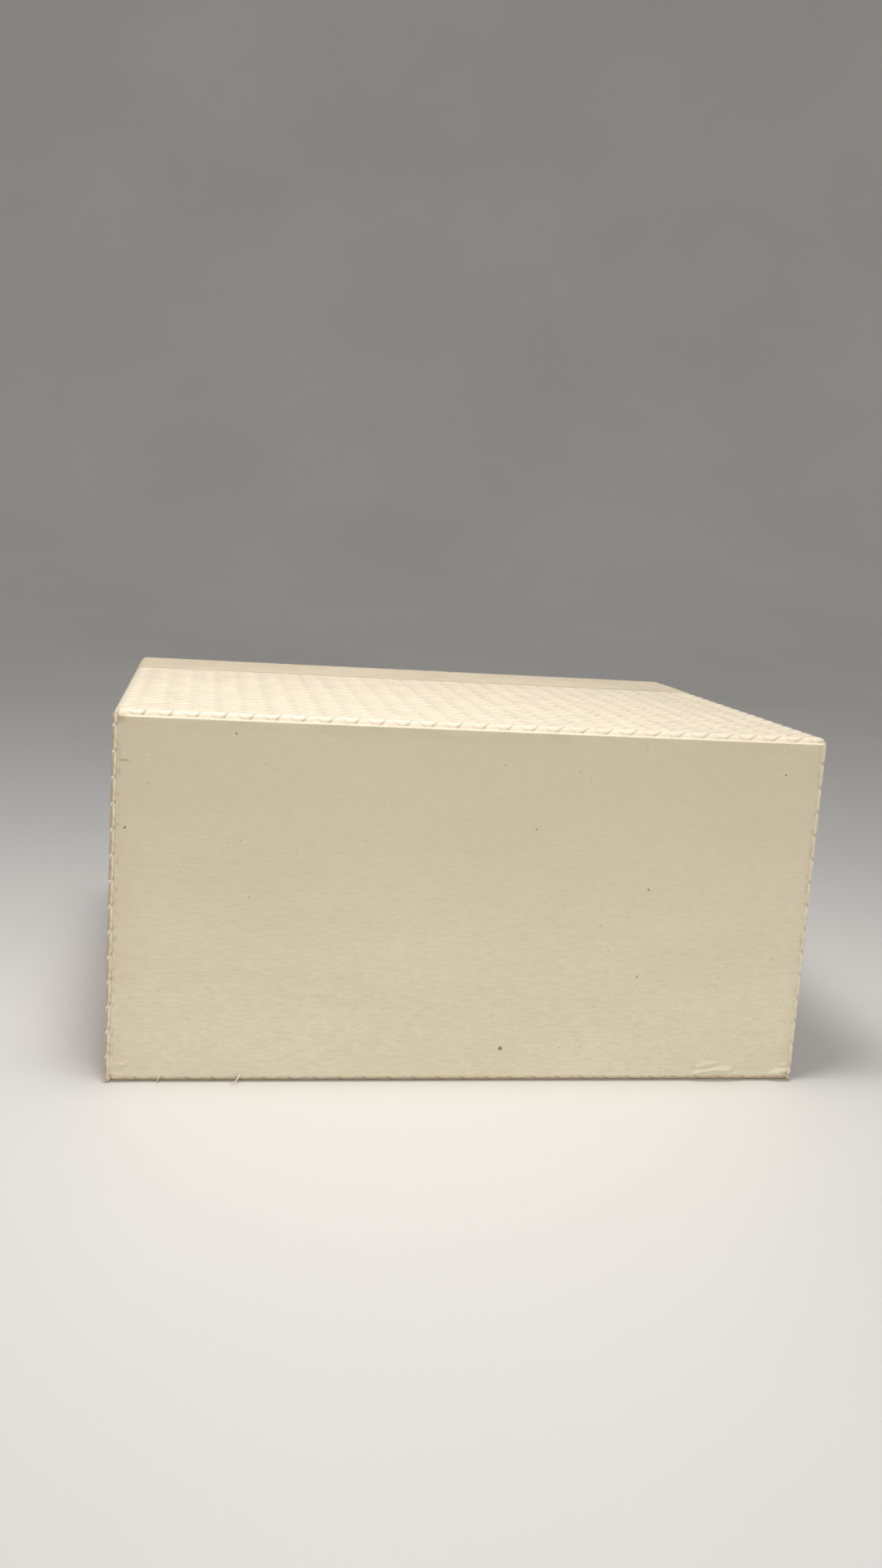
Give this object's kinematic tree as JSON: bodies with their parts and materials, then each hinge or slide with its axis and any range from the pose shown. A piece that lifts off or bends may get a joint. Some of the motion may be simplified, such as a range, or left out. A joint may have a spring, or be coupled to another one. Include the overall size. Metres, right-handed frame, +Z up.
{
  "type": "presentation box",
  "caption": "Rigid lift-off-lid presentation box with a diamond-weave covered body, a smooth lid, an inner neck and a flat paper-covered base panel.",
  "frame": {"origin": "middle of the footprint, on the surface that the box lies on", "axes": "+Z up as the box lies on a long wall; -Y out of the base panel, +Y out of the top of the lid; X along the width"},
  "size_m": [0.2, 0.156, 0.103],
  "materials": {
    "base_paper": "matt, fine fibre grain",
    "woven_leatherette": "satin, diamond plain-weave relief",
    "smooth_leatherette": "satin, fine grain",
    "suede_lining": "matt nap",
    "padded_suede": "matt nap over foam",
    "lining_paper": "matt",
    "grey_board": "matt"
  },
  "bodies": {
    "box_body": {"base_paper": "base_paper", "base_panel_board": "grey_board", "base_filler_card": "grey_board", "woven_cover_base_edge": "woven_leatherette", "floor_board": "grey_board", "wall_board_lower": "grey_board", "wall_board_upper": "grey_board", "wall_board_left": "grey_board", "wall_board_right": "grey_board", "woven_cover_lower": "woven_leatherette", "woven_cover_upper": "woven_leatherette", "woven_cover_left": "woven_leatherette", "woven_cover_right": "woven_leatherette", "neck_board_lower": "suede_lining", "neck_board_upper": "suede_lining", "neck_board_left": "suede_lining", "neck_board_right": "suede_lining", "neck_lining_lower": "suede_lining", "neck_lining_upper": "suede_lining", "neck_lining_left": "suede_lining", "neck_lining_right": "suede_lining", "floor_pad": "padded_suede"},
    "lid": {"lid_top_board": "grey_board", "lid_cover_top": "smooth_leatherette", "lid_wall_board_lower": "grey_board", "lid_wall_board_upper": "grey_board", "lid_wall_board_left": "grey_board", "lid_wall_board_right": "grey_board", "lid_cover_lower": "smooth_leatherette", "lid_cover_upper": "smooth_leatherette", "lid_cover_left": "smooth_leatherette", "lid_cover_right": "smooth_leatherette", "lid_lining_lower": "lining_paper", "lid_lining_upper": "lining_paper", "lid_lining_left": "lining_paper", "lid_lining_right": "lining_paper", "lid_pad": "padded_suede"}
  },
  "joints": [
    {"name": "lid_lift", "type": "slide", "parent": "box_body", "child": "lid", "axis": [0, 1, 0], "range_m": [0, 0.06]}
  ]
}
